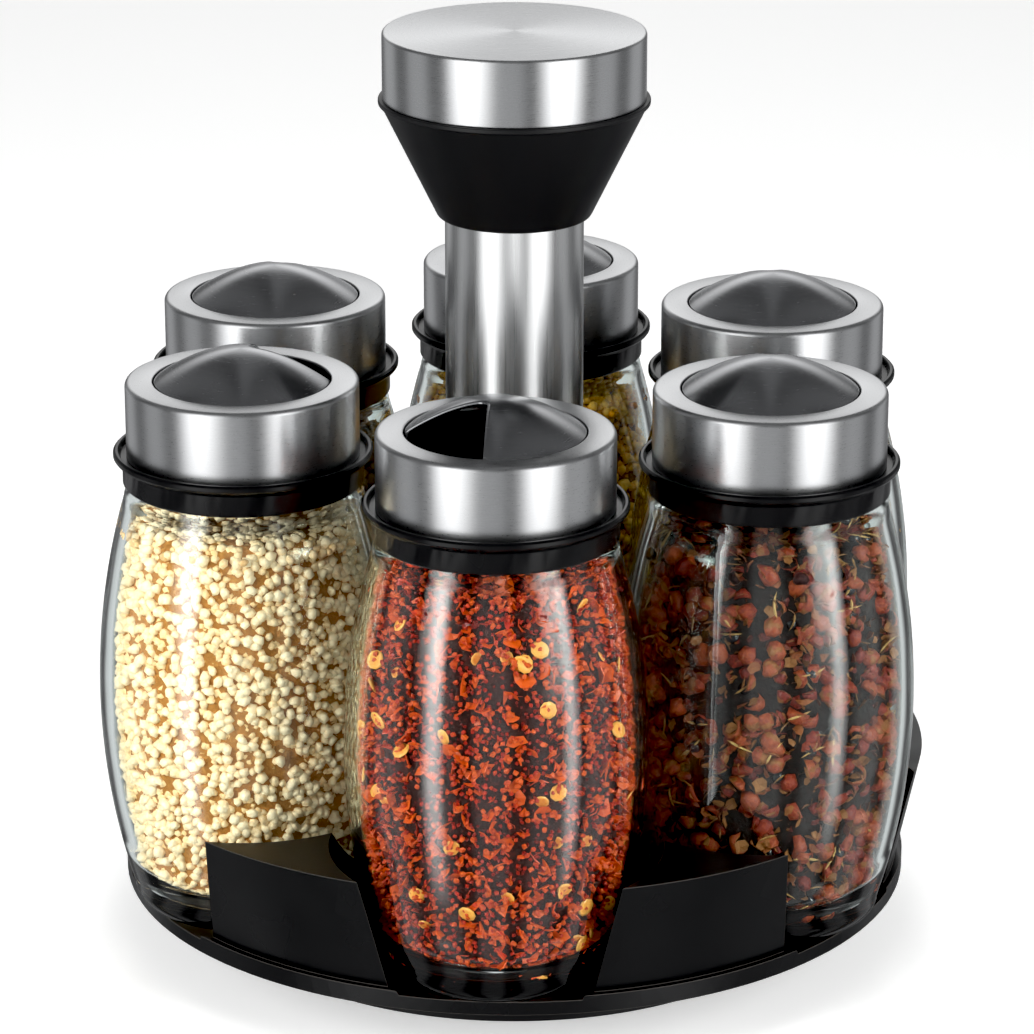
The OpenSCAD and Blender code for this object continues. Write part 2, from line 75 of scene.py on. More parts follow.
# ---- Camera ----
# A long lens, a little above the lids and a few degrees round to the right of
# jar 1. It looks at the column's middle, so the frame needs no shift.
MM = 0.001
floor_z = cad_box[0][2]
camera_distance = 891.8 * MM
camera_elevation = math.radians(19.0)
camera_azimuth = math.radians(3.36)
aim_right = 0.5 * MM
aim_height = floor_z + 82.3 * MM
lens_mm = 158.832

camera_data = bpy.data.cameras.new("camera")
camera_data.sensor_width = 36
camera_data.lens = lens_mm
camera_data.clip_start = 0.05
camera_data.clip_end = 30
camera = bpy.data.objects.new("camera", camera_data)
away = Vector((math.sin(camera_azimuth) * math.cos(camera_elevation),
               -math.cos(camera_azimuth) * math.cos(camera_elevation),
               math.sin(camera_elevation)))
aim = Vector((aim_right, 0, aim_height))
camera.location = aim + away * camera_distance
camera.rotation_euler = (-away).to_track_quat("-Z", "Y").to_euler()
bpy.context.scene.collection.objects.link(camera)
bpy.context.scene.camera = camera


# ---- Floor and studio light ----
# A pale seamless paper. Key lights at both sides and overhead light the spices,
# tall white panels show in the steel and glass, and one softbox glows behind.
# Cards all round give the glass its dark outline. The blacks are set a little deep.
black_level = 0.008
view = bpy.context.scene.view_settings
view.view_transform = "Standard"
view.use_curve_mapping = True
view.curve_mapping.black_level = (black_level, black_level, black_level)
view.curve_mapping.update()


def srgb(text):
    channels = [int(text[i:i + 2], 16) / 255 for i in (1, 3, 5)]
    linear = [c / 12.92 if c <= 0.04045 else ((c + 0.055) / 1.055) ** 2.4 for c in channels]
    return (*linear, 1.0)


def add(tree, kind, inputs=None, **settings):
    """Adds a node. An input's value is a number or colour, or a socket to link from."""
    made = tree.nodes.new(kind)
    for name, value in settings.items():
        setattr(made, name, value)
    for name, value in (inputs or {}).items():
        if isinstance(value, bpy.types.NodeSocket):
            tree.links.new(value, made.inputs[name])
        else:
            made.inputs[name].default_value = value
    return made


def new_material(name, **surface):
    """A Principled material, and the tree and shader to build its pattern on."""
    made = bpy.data.materials.new(name)
    made.use_nodes = True
    tree = made.node_tree
    shader = tree.nodes["Principled BSDF"]
    for socket, value in surface.items():
        shader.inputs[socket.replace("_", " ").title().replace("Ior", "IOR")].default_value = value
    return made, tree, shader


floor_paint, tree, shader = new_material("studio_paper", base_color=srgb("#f4f4f3"), roughness=0.75,
                                         emission_color=srgb("#ffffff"), emission_strength=0.45)
position = add(tree, "ShaderNodeTexCoord")
grain = add(tree, "ShaderNodeTexNoise", {"Vector": position.outputs["Object"], "Scale": 400.0})
bump = add(tree, "ShaderNodeBump", {"Height": grain.outputs["Fac"], "Strength": 0.05, "Distance": 0.0002})
tree.links.new(bump.outputs["Normal"], shader.inputs["Normal"])

sweep = bmesh.new()
sweep_half = 4.0
floor_gap = 0.1 * MM
corners = [sweep.verts.new((x * sweep_half, y * sweep_half, floor_z - floor_gap))
           for x, y in ((-1, -1), (1, -1), (1, 1), (-1, 1))]
sweep.faces.new(corners)
sweep_mesh = bpy.data.meshes.new("floor")
sweep.to_mesh(sweep_mesh)
sweep.free()
sweep_mesh.materials.append(floor_paint)
floor = bpy.data.objects.new("floor", sweep_mesh)
floor.visible_glossy = False
floor.visible_transmission = False
bpy.context.scene.collection.objects.link(floor)


shown_in = {kind: bpy.data.collections.new(f"shown_in_{kind}") for kind in ("steel", "column", "glass")}
cloth_peak = 1.5


def softbox(name, direction, distance, height, size, power, mirrored=True, lights=True, only=None):
    """A rectangular area light at an angle round from the camera, turned to the jars.
    Its cloth is brightest in the middle and fades to its edges. A mirrored one shows in
    steel and glass, or only in one kind of piece, and one that lights falls on the rest."""
    turn = math.radians(direction) + camera_azimuth
    place = Vector((math.sin(turn) * distance, -math.cos(turn) * distance, height))
    light = bpy.data.lights.new(name, "AREA")
    light.shape = "RECTANGLE"
    light.size, light.size_y = size
    light.energy = power
    light.use_nodes = True
    tree = light.node_tree
    cloth = add(tree, "ShaderNodeNewGeometry")
    across = add(tree, "ShaderNodeSeparateXYZ", {0: cloth.outputs["Parametric"]})
    fades = []
    for side in "XY":
        half_turn = add(tree, "ShaderNodeMath", {0: across.outputs[side], 1: math.pi}, operation="MULTIPLY")
        wave = add(tree, "ShaderNodeMath", {0: half_turn.outputs[0]}, operation="SINE")
        fade = add(tree, "ShaderNodeMath", {0: wave.outputs[0], 1: cloth_peak}, operation="MULTIPLY")
        fades.append(fade.outputs[0])
    glow = add(tree, "ShaderNodeMath", {0: fades[0], 1: fades[1]}, operation="MULTIPLY")
    tree.links.new(glow.outputs[0], tree.nodes["Emission"].inputs["Strength"])
    lamp = bpy.data.objects.new(name, light)
    lamp.location = place
    lamp.rotation_euler = (aim - place).to_track_quat("-Z", "Y").to_euler()
    lamp.visible_camera = False
    lamp.visible_glossy = mirrored
    lamp.visible_diffuse = lights
    if only:
        lamp.light_linking.receiver_collection = shown_in[only]
    bpy.context.scene.collection.objects.link(lamp)


softbox("key_left", -52, 0.9, 0.36, (0.5, 1.0), 9, mirrored=False)
softbox("key_right", 50, 0.9, 0.36, (0.5, 1.0), 9, mirrored=False)
softbox("key_top", 180, 0.15, 1.1, (0.4, 1.2), 4.2, mirrored=False)
softbox("panel_left", -38, 0.9, 0.15, (0.8, 1.8), 3.9, lights=False, only="steel")
softbox("panel_right", 42, 0.9, 0.15, (0.8, 1.8), 3.8, lights=False, only="steel")
softbox("panel_front", 2, 0.9, -0.15, (0.5, 1.0), 0.9, lights=False, only="column")
softbox("strip_left", -46, 0.9, 0.0, (0.26, 1.3), 3.2, lights=False, only="glass")
softbox("strip_right", 56, 0.9, 0.0, (0.22, 1.3), 2.4, lights=False, only="glass")
softbox("softbox_back", 180, 1.6, 0.78, (2.2, 0.8), 2.9)

# The room: dark cards stand round it, it is brighter low down than overhead, and
# what is seen through the glass has more contrast than what the glass reflects.
cards_round = 8.0
paper_glow = 0.9
world = bpy.data.worlds.new("studio")
bpy.context.scene.world = world
world.use_nodes = True
tree = world.node_tree
facing = add(tree, "ShaderNodeTexCoord")
toward = add(tree, "ShaderNodeSeparateXYZ", {0: facing.outputs["Generated"]})
behind = add(tree, "ShaderNodeMath", {0: toward.outputs["Y"], 1: -1.0}, operation="MULTIPLY")
bearing = add(tree, "ShaderNodeMath", {0: toward.outputs["X"], 1: behind.outputs[0]}, operation="ARCTAN2")
cards = add(tree, "ShaderNodeMath", {0: bearing.outputs[0], 1: cards_round}, operation="MULTIPLY")
card = add(tree, "ShaderNodeMath", {0: cards.outputs[0]}, operation="COSINE")
low_side = add(tree, "ShaderNodeMapRange", {"Value": card.outputs[0], "From Min": -0.7, "From Max": 0.3,
                                            "To Min": 0.14, "To Max": 0.42})
high_side = add(tree, "ShaderNodeMapRange", {"Value": card.outputs[0], "From Min": -0.5, "From Max": 0.5,
                                             "To Min": 0.07, "To Max": 0.2})
climb = add(tree, "ShaderNodeMapRange", {"Value": toward.outputs["Z"], "From Min": 0.0, "From Max": 0.35})
room = add(tree, "ShaderNodeMix", {"Factor": climb.outputs["Result"], "A": low_side.outputs["Result"],
                                   "B": high_side.outputs["Result"]})
through = add(tree, "ShaderNodeMapRange", {"Value": card.outputs[0], "From Min": -0.8, "From Max": 0.2,
                                           "To Min": 0.0, "To Max": 0.75})
ray = add(tree, "ShaderNodeLightPath")
lit = add(tree, "ShaderNodeMix", {"Factor": ray.outputs["Is Transmission Ray"], "A": room.outputs[0],
                                  "B": through.outputs["Result"]})
paper = add(tree, "ShaderNodeMix", {"Factor": ray.outputs["Is Camera Ray"], "A": lit.outputs[0],
                                    "B": paper_glow})
tree.links.new(paper.outputs[0], tree.nodes["Background"].inputs["Strength"])
tree.nodes["Background"].inputs["Color"].default_value = srgb("#fcfdff")


# ---- Foot ----
# A low round ABS moulding that stays still while the tray turns over it. Six
# rubber feet are pushed into sockets in its underside.
def moulded_plastic(name, colour, roughness, grain_mm=0.35, depth_mm=0.01):
    """Injection-moulded ABS or PP: an even colour under a fine spark-eroded grain."""
    made, tree, shader = new_material(name, base_color=srgb(colour), roughness=roughness, ior=1.5,
                                      specular_ior_level=0.3)
    position = add(tree, "ShaderNodeTexCoord")
    grain = add(tree, "ShaderNodeTexNoise",
                {"Vector": position.outputs["Object"], "Scale": 1 / (grain_mm * MM), "Detail": 3.0})
    cloud = add(tree, "ShaderNodeTexNoise", {"Vector": position.outputs["Object"], "Scale": 1 / (14 * MM)})
    worn = add(tree, "ShaderNodeMapRange", {"Value": cloud.outputs["Fac"], "From Min": 0.3, "From Max": 0.7,
                                            "To Min": roughness - 0.05, "To Max": roughness + 0.07})
    tree.links.new(worn.outputs["Result"], shader.inputs["Roughness"])
    bump = add(tree, "ShaderNodeBump", {"Height": grain.outputs["Fac"], "Strength": 0.35,
                                        "Distance": depth_mm * MM})
    tree.links.new(bump.outputs["Normal"], shader.inputs["Normal"])
    return made


def link_piece(mesh, name, material):
    """Puts a mesh with its one material into the scene."""
    mesh.materials.clear()
    mesh.materials.append(material)
    piece = bpy.data.objects.new(name, mesh)
    bpy.context.scene.collection.objects.link(piece)
    return piece


def finished_copy(node, name, material, edge_mm, highlight_edge_material=None):
    """A CAD node's shape with its triangles joined, its flats merged and its edges broken.
    Where an edge material is given, its lighter colour on those bevelled edges is a painted highlight."""
    form = bmesh.new()
    form.from_mesh(frame["nodes"][node].data)
    bmesh.ops.remove_doubles(form, verts=form.verts, dist=0.002 * MM)
    bmesh.ops.dissolve_limit(form, angle_limit=math.radians(0.4), verts=form.verts, edges=form.edges)
    mesh = bpy.data.meshes.new(name)
    form.to_mesh(mesh)
    form.free()
    mesh.shade_smooth()
    mesh.set_sharp_from_angle(angle=math.radians(28))
    piece = link_piece(mesh, name, material)
    edge = piece.modifiers.new("broken_edges", "BEVEL")
    edge.width = edge_mm * MM
    edge.segments = 2
    edge.limit_method = "ANGLE"
    edge.angle_limit = math.radians(35)
    edge.harden_normals = True
    if highlight_edge_material:
        mesh.materials.append(highlight_edge_material)
        edge.material = 1
    return piece


def dress(node, material):
    """Gives a CAD node that is shown as it is its real finish."""
    frame["nodes"][node].data.materials.clear()
    frame["nodes"][node].data.materials.append(material)


foot_abs = moulded_plastic("foot_abs_matte", "#0e0e0f", 0.45)
foot = finished_copy("foot_plate", "foot_moulding", foot_abs, 0.25)
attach(foot, "foot")
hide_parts("foot_plate")

rubber = moulded_plastic("foot_rubber_moulded", "#2a2a2a", 0.8, grain_mm=0.6)
dress("rubber_feet", rubber)
acetal = moulded_plastic("bush_acetal", "#dcd8cb", 0.4)
dress("pivot_bush", acetal)


# ---- Ball ring ----
# Hardened steel balls in a nylon cage, between the foot and the tray.
def turned_metal(name, colour, roughness, line_mm=0.12, depth_mm=0.003):
    """Plain machined or rolled steel: fine parallel tool lines and a slight patchiness."""
    made, tree, shader = new_material(name, base_color=srgb(colour), roughness=roughness, metallic=1.0)
    position = add(tree, "ShaderNodeTexCoord")
    stretch = add(tree, "ShaderNodeMapping", {"Vector": position.outputs["Object"],
                                              "Scale": (0.08, 0.08, 1.0)})
    lines = add(tree, "ShaderNodeTexNoise", {"Vector": stretch.outputs["Vector"],
                                             "Scale": 1 / (line_mm * MM), "Detail": 2.0})
    patchy = add(tree, "ShaderNodeMapRange", {"Value": lines.outputs["Fac"], "From Min": 0.3, "From Max": 0.7,
                                              "To Min": roughness * 0.8, "To Max": roughness * 1.25})
    tree.links.new(patchy.outputs["Result"], shader.inputs["Roughness"])
    bump = add(tree, "ShaderNodeBump", {"Height": lines.outputs["Fac"], "Strength": 0.3,
                                        "Distance": depth_mm * MM})
    tree.links.new(bump.outputs["Normal"], shader.inputs["Normal"])
    return made


dress("bearing_balls", turned_metal("ball_steel_polished", "#c3c6c9", 0.12))
dress("ball_cage", moulded_plastic("cage_nylon_natural", "#d6cfb4", 0.45))

# ---- Tray ----
# One hollow satin-black ABS moulding: the rim, six pocket floors, six wedge
# dividers and the hub. A plate screwed on from below closes it.
tray_abs = moulded_plastic("tray_abs_satin", "#0b0b0c", 0.3)
# The tray's bevelled edges get a lighter colour: a painted edge highlight.
edge_highlight_abs = moulded_plastic("tray_abs_rubbed_edge", "#3d3a37", 0.38)
tray = finished_copy("carousel_tray", "tray_moulding", tray_abs, 0.35, edge_highlight_abs)
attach(tray, "carousel")
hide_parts("carousel_tray")
dress("tray_base_plate", moulded_plastic("base_plate_abs_matte", "#1a1b1d", 0.5))

zinc = turned_metal("fastener_zinc_plate", "#a9adb0", 0.32)
for fastener in ("plate_screws", "tie_rod", "hub_nut", "hub_washer", "lock_nut", "lock_washer"):
    dress(fastener, zinc)


# ---- Column ----
# A stainless tube, polished lengthwise, seated in the hub and in the knob.
def outline(*corners, steps=5):
    """A profile through (radius, height) corners in mm; a third number rounds that corner."""
    points = []
    for i, corner in enumerate(corners):
        here = Vector(corner[:2])
        if len(corner) < 3 or i in (0, len(corners) - 1):
            points.append(here)
            continue
        before = (Vector(corners[i - 1][:2]) - here).normalized()
        after = (Vector(corners[i + 1][:2]) - here).normalized()
        half = before.angle(after) / 2
        reach = corner[2] / math.tan(half)
        start, end = here + before * reach, here + after * reach
        centre = here + (before + after).normalized() * (corner[2] / math.sin(half))
        first = start - centre
        sweep_angle = first.angle_signed(end - centre)
        for k in range(steps + 1):
            turn = -sweep_angle * k / steps
            points.append(centre + Vector((first.x * math.cos(turn) - first.y * math.sin(turn),
                                           first.x * math.sin(turn) + first.y * math.cos(turn))))
    return [(p.x, p.y) for p in points]


def lathe(name, profile, material, centre=(0, 0, 0), segments=128, closed=False, sharp=32):
    """Turns a profile in mm round an upright axis at centre, in metres, into a piece.

    The "around" UV map runs round the axis, and the "turned" attribute holds each
    point's place from the axis and its distance along the profile, in metres.
    """
    form = bmesh.new()
    place = form.verts.layers.float_vector.new("turned")
    around = form.loops.layers.uv.new("around")
    along = [0.0]
    for (r0, z0), (r1, z1) in zip(profile, profile[1:]):
        along.append(along[-1] + math.hypot(r1 - r0, z1 - z0) * MM)
    rings = []
    for (radius, height), length in zip(profile, along):
        count = 1 if radius < 1e-6 else segments
        ring = []
        for k in range(count):
            turn = 2 * math.pi * k / count
            x, y = radius * MM * math.cos(turn), radius * MM * math.sin(turn)
            vert = form.verts.new((centre[0] + x, centre[1] + y, centre[2] + height * MM))
            vert[place] = (x, y, length)
            ring.append(vert)
        rings.append(ring)
    pairs = list(zip(rings, rings[1:], along, along[1:]))
    if closed:
        pairs.append((rings[-1], rings[0], along[-1], along[-1] + MM))
    for lower, upper, v0, v1 in pairs:
        for k in range(segments):
            u0, u1 = k / segments, (k + 1) / segments
            if len(lower) == 1 and len(upper) == 1:
                continue
            if len(lower) == 1:
                ring, uvs = (lower[0], upper[(k + 1) % segments], upper[k]), ((u0, v0), (u1, v1), (u0, v1))
            elif len(upper) == 1:
                ring, uvs = (lower[k], lower[(k + 1) % segments], upper[0]), ((u0, v0), (u1, v0), (u0, v1))
            else:
                ring = (lower[k], lower[(k + 1) % segments], upper[(k + 1) % segments], upper[k])
                uvs = ((u0, v0), (u1, v0), (u1, v1), (u0, v1))
            face = form.faces.new(ring)
            for loop, uv in zip(face.loops, uvs):
                loop[around].uv = uv
    bmesh.ops.recalc_face_normals(form, faces=form.faces)
    mesh = bpy.data.meshes.new(name)
    form.to_mesh(mesh)
    form.free()
    mesh.shade_smooth()
    mesh.set_sharp_from_angle(angle=math.radians(sharp))
    return link_piece(mesh, name, material)


def brushed_steel(name, colour, roughness, anisotropic, streak_mm=(9, 0.16), shade=0.25, depth_mm=0.004):
    """Stainless sheet brushed round its axis: streaks that follow the turning, and a
    highlight that spreads across them."""
    made, tree, shader = new_material(name, base_color=srgb(colour), metallic=1.0, anisotropic=anisotropic,
                                      anisotropic_rotation=0.25)
    turned = add(tree, "ShaderNodeAttribute", attribute_name="turned")
    layers = []
    for length_mm, width_mm in (streak_mm, (streak_mm[0] * 0.2, streak_mm[1] * 0.7)):
        stretch = add(tree, "ShaderNodeMapping", {
            "Vector": turned.outputs["Vector"],
            "Scale": (1 / (length_mm * MM), 1 / (length_mm * MM), 1 / (width_mm * MM))})
        layers.append(add(tree, "ShaderNodeTexNoise", {"Vector": stretch.outputs["Vector"], "Scale": 1.0,
                                                       "Detail": 3.0, "Roughness": 0.6}).outputs["Fac"])
    mixed = add(tree, "ShaderNodeMath", {0: layers[0], 1: layers[1]}, operation="ADD")
    tone = add(tree, "ShaderNodeMapRange", {"Value": mixed.outputs[0], "From Min": 0.7, "From Max": 1.3})
    rough = add(tree, "ShaderNodeMapRange", {"Value": mixed.outputs[0], "From Min": 0.7, "From Max": 1.3,
                                             "To Min": roughness * 0.85, "To Max": roughness * 1.15})
    tree.links.new(rough.outputs["Result"], shader.inputs["Roughness"])
    ramp = add(tree, "ShaderNodeMix", {"Factor": tone.outputs["Result"]}, data_type="RGBA")
    ramp.inputs["A"].default_value = [*[c * (1 - shade) for c in srgb(colour)[:3]], 1]
    ramp.inputs["B"].default_value = [*[min(c * (1 + shade), 0.95) for c in srgb(colour)[:3]], 1]
    tree.links.new(ramp.outputs["Result"], shader.inputs["Base Color"])
    bump = add(tree, "ShaderNodeBump", {"Height": mixed.outputs[0], "Strength": 0.25,
                                        "Distance": depth_mm * MM})
    tree.links.new(bump.outputs["Normal"], shader.inputs["Normal"])
    tangent = add(tree, "ShaderNodeTangent", direction_type="UV_MAP", uv_map="around")
    tree.links.new(tangent.outputs["Tangent"], shader.inputs["Tangent"])
    return made


def heights(node):
    """A CAD node's lowest and highest point, in mm."""
    lowest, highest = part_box(node)
    return lowest[2] / MM, highest[2] / MM


def half_width(node):
    """Half of a CAD node's width, in mm."""
    lowest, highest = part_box(node)
    return (highest[0] - lowest[0]) / 2 / MM


column_low, column_high = heights("column_tube")
column_r = half_width("column_tube")
column_wall = 0.8
column_steel = brushed_steel("column_steel_polished", "#e6e7e7", 0.3, 0.3, streak_mm=(0.5, 30),
                             shade=0.05, depth_mm=0.001)
column = lathe("column_sleeve", outline(
    (column_r - column_wall, column_low), (column_r, column_low, 0.2), (column_r, column_high, 0.2),
    (column_r - column_wall, column_high)), column_steel, closed=True)
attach(column, "carousel")
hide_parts("column_tube")

# ---- Knob ----
# A satin-black cone screwed on the tie rod. A cup of stainless sheet, brushed in
# circles on its flat top, is pressed over it.
cone_low = heights("knob_cone")[0]
cap_low, cap_high = heights("knob_cap")
lip_r = half_width("knob_cone")
cap_r = half_width("knob_cap")
cone_low_r = 14.6
cone_lip_out, cone_lip_h = 0.5, 1.0
tube_gap, tube_seat_depth = 0.02, 12
cap_seat_r, cap_seat_top = cap_r - 0.9, cap_high - 1
knob_abs = moulded_plastic("knob_abs_satin", "#171718", 0.34)
cone = lathe("knob_grip", outline(
    (column_r + tube_gap, cone_low + tube_seat_depth), (column_r + tube_gap, cone_low, 0.3),
    (cone_low_r, cone_low, 1.2), (lip_r - cone_lip_out, cap_low - cone_lip_h, 0.3),
    (lip_r, cap_low - cone_lip_h, 0.3), (lip_r, cap_low, 0.25), (cap_seat_r, cap_low, 0.1),
    (cap_seat_r, cap_seat_top), (0, cap_seat_top)), knob_abs)
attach(cone, "carousel")
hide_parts("knob_cone")
dress("knob_insert", turned_metal("insert_brass_turned", "#c59a52", 0.25))

cap_sheet = 0.8
cap_steel = brushed_steel("knob_cap_steel_brushed", "#dcddde", 0.29, 0.72, streak_mm=(6, 0.12), shade=0.05)
cap = lathe("knob_cap_cup", outline(
    (cap_r - cap_sheet, cap_low), (cap_r, cap_low, 0.25), (cap_r, cap_high, 0.6), (0, cap_high),
    steps=6), cap_steel)
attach(cap, "carousel")
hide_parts("knob_cap")


# ---- Glass jars ----
# Pressed soda-lime glass: a thick floor, a barrel wall, a rounded shoulder and a
# neck. The glass is clear, with the faint green that shows in its thick places.
JARS = range(1, 7)
belly_r, belly_h = 28.3, 42.5
foot_r, heel_r, heel_h = 19.8, 22.6, 3.6
shoulder_r, shoulder_h, shoulder_round = 22.7, 84.0, 2.4
glass_wall, glass_floor = 2.2, 3.6
neck_r, neck_top = 18.6, 98.5
bead_h, bead_out, bead_half = 93.0, 0.6, 0.6
room_corner, room_top, throat_h = 9, 81.6, 86.5


def shell_radius(height):
    """The barrel's radius at a height above the jar's foot: one arc below the belly, one above."""
    if height < belly_h:
        rise, run = belly_r - heel_r, belly_h - heel_h
    else:
        rise, run = belly_r - shoulder_r, shoulder_h - shoulder_round - belly_h
    arc = (run * run + rise * rise) / (2 * rise)
    return belly_r - arc + math.sqrt(arc * arc - (height - belly_h) ** 2)


def span(start, end, count):
    """Evenly spaced numbers from start to end, both of them included."""
    return [start + (end - start) * k / count for k in range(count + 1)]


def jar_centre(number):
    """The middle of a jar's foot, in metres."""
    lowest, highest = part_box(f"glass_jar_{number}")
    return ((lowest[0] + highest[0]) / 2, (lowest[1] + highest[1]) / 2, lowest[2])


def room_radius(height):
    """The radius of the room inside the glass, with its rounded bottom corner."""
    side = shell_radius(max(height, glass_floor + room_corner)) - glass_wall
    rise = height - glass_floor
    if rise >= room_corner:
        return side
    return side - room_corner + math.sqrt(max(room_corner ** 2 - (room_corner - rise) ** 2, 0))


def jar_profile():
    """Once round the glass in mm: under the foot, up outside and down inside."""
    punt = [(0, 1.4), (9, 1.3), (14, 1.0), (16.5, 0.5), (18, 0.1), (19, 0)]
    heel = [(foot_r + (heel_r - foot_r) * math.cos(a), heel_h + heel_h * math.sin(a))
            for a in span(-math.pi / 2, 0, 8)]
    wall = [(shell_radius(h), h) for h in span(heel_h, shoulder_h - shoulder_round, 44)][1:]
    shoulder = [(shoulder_r - shoulder_round + shoulder_round * math.cos(a),
                 shoulder_h - shoulder_round + shoulder_round * math.sin(a))
                for a in span(0, math.pi / 2, 6)][1:]
    throat_r = neck_r - glass_wall
    neck = outline((shoulder_r - shoulder_round, shoulder_h), (neck_r, shoulder_h, 0.6),
                   (neck_r, bead_h - bead_half, 0.1), (neck_r + bead_out, bead_h, 0.3),
                   (neck_r, bead_h + bead_half, 0.1), (neck_r, neck_top, 0.6), (throat_r, neck_top, 0.6),
                   (throat_r, throat_h, 1.5), (room_radius(room_top), room_top))[1:-1]
    room = [(room_radius(h), h) for h in span(room_top, glass_floor + room_corner, 40)]
    rounded = [glass_floor + room_corner * (1 - math.sin(a)) for a in span(0, math.pi / 2, 8)][1:]
    bottom = [(room_radius(h), h) for h in rounded]
    return punt + heel[1:] + wall + shoulder + neck + room + bottom + [(0, glass_floor)]


jar_glass, tree, shader = new_material("jar_soda_lime_glass", base_color=srgb("#f3fbf8"), roughness=0.0,
                                       ior=1.46, transmission_weight=1.0, specular_ior_level=0.14)
position = add(tree, "ShaderNodeTexCoord")
waves = add(tree, "ShaderNodeTexNoise", {"Vector": position.outputs["Object"], "Scale": 1 / (16 * MM),
                                         "Detail": 1.0})
bump = add(tree, "ShaderNodeBump", {"Height": waves.outputs["Fac"], "Strength": 0.25, "Distance": 0.25 * MM})
tree.links.new(bump.outputs["Normal"], shader.inputs["Normal"])

for number in JARS:
    jar = lathe(f"jar_glass_{number}", jar_profile(), jar_glass, jar_centre(number), segments=112, sharp=60)
    jar.visible_shadow = False
    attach(jar, f"jar_{number}")
    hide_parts(f"glass_jar_{number}")


# ---- Spices ----
# Loose dry spice against the glass: a rounded core, and grains of each kind
# scattered over it at their real size.
def dry_spice(name, colours, roughness, inside=None, speck_mm=0.5, relief_mm=0.12):
    """Dried plant: each grain has its own tone, with finer mottling across it, and its
    "pale" attribute brings in the colour of its inner side."""
    made, tree, shader = new_material(name, roughness=roughness)
    tone = add(tree, "ShaderNodeAttribute", attribute_name="tone")
    position = add(tree, "ShaderNodeTexCoord")
    mottle = add(tree, "ShaderNodeTexNoise", {"Vector": position.outputs["Object"],
                                              "Scale": 1 / (speck_mm * MM), "Detail": 3.0})
    shifted = add(tree, "ShaderNodeMath", {0: mottle.outputs["Fac"], 1: 0.9, 2: tone.outputs["Fac"]},
                  operation="MULTIPLY_ADD")
    moved = add(tree, "ShaderNodeMath", {0: shifted.outputs[0], 1: 0.45}, operation="SUBTRACT")
    ramp = add(tree, "ShaderNodeValToRGB", {"Fac": moved.outputs[0]})
    stops = ramp.color_ramp.elements
    while len(stops) < len(colours):
        stops.new(0.5)
    for k, colour in enumerate(colours):
        stops[k].position = k / (len(colours) - 1)
        stops[k].color = srgb(colour)
    skin = ramp.outputs["Color"]
    if inside:
        pale = add(tree, "ShaderNodeAttribute", attribute_name="pale")
        both = add(tree, "ShaderNodeMix", {"Factor": pale.outputs["Fac"]}, data_type="RGBA")
        tree.links.new(skin, both.inputs["A"])
        both.inputs["B"].default_value = srgb(inside)
        skin = both.outputs["Result"]
    tree.links.new(skin, shader.inputs["Base Color"])
    bump = add(tree, "ShaderNodeBump", {"Height": mottle.outputs["Fac"], "Strength": 0.6,
                                        "Distance": relief_mm * MM})
    tree.links.new(bump.outputs["Normal"], shader.inputs["Normal"])
    return made


